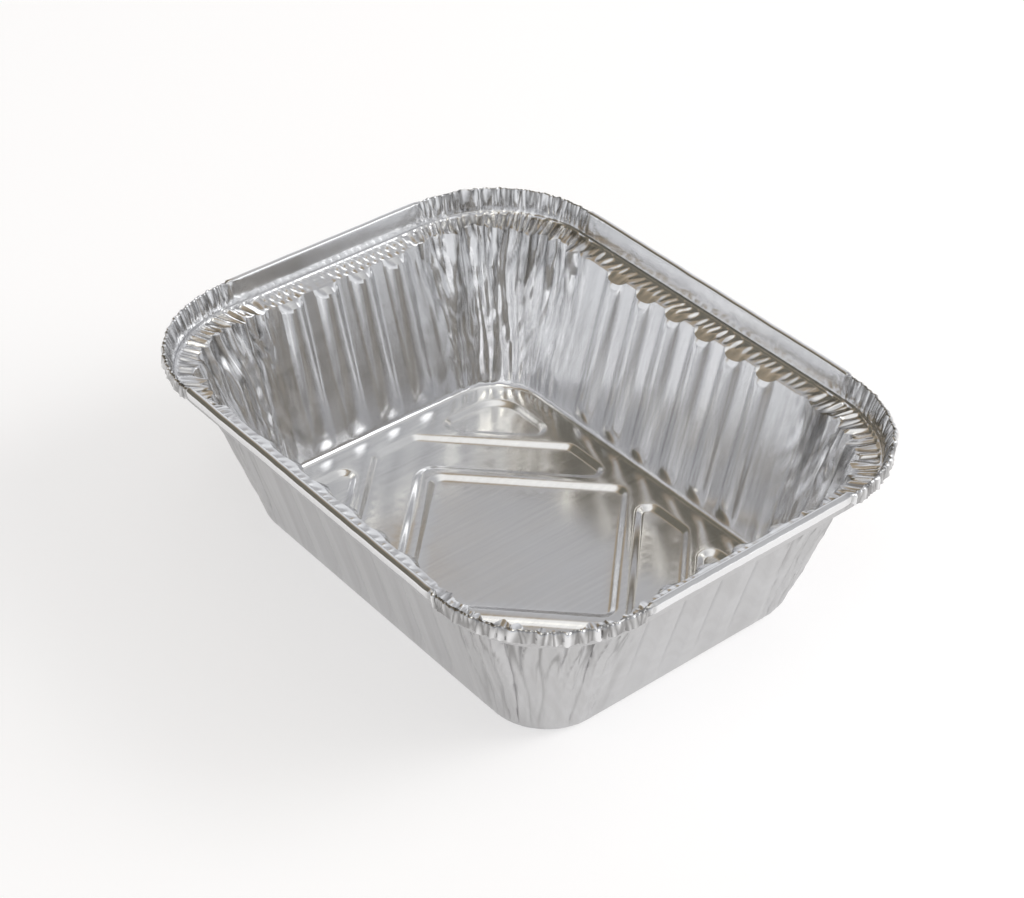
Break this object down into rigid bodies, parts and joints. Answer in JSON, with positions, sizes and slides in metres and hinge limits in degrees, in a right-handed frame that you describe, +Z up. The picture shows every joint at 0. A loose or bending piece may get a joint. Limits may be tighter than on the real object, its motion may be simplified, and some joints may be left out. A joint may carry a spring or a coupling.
{
  "type": "foil tray",
  "caption": "Rectangular aluminium foil tray with sloping ribbed walls, an embossed base, a flat shelf and an upright rim with crimped corners, for baking, freezing or carrying food.",
  "frame": {"origin": "middle of the base's underside, on the surface that the tray stands on", "axes": "+X along the long sides, +Y along the short sides, +Z up out of the open top"},
  "size_m": [0.1489, 0.1174, 0.047],
  "materials": {
    "foil": "bright rolled foil, creased by forming"
  },
  "bodies": {
    "root": {"tray": "foil"}
  },
  "joints": []
}
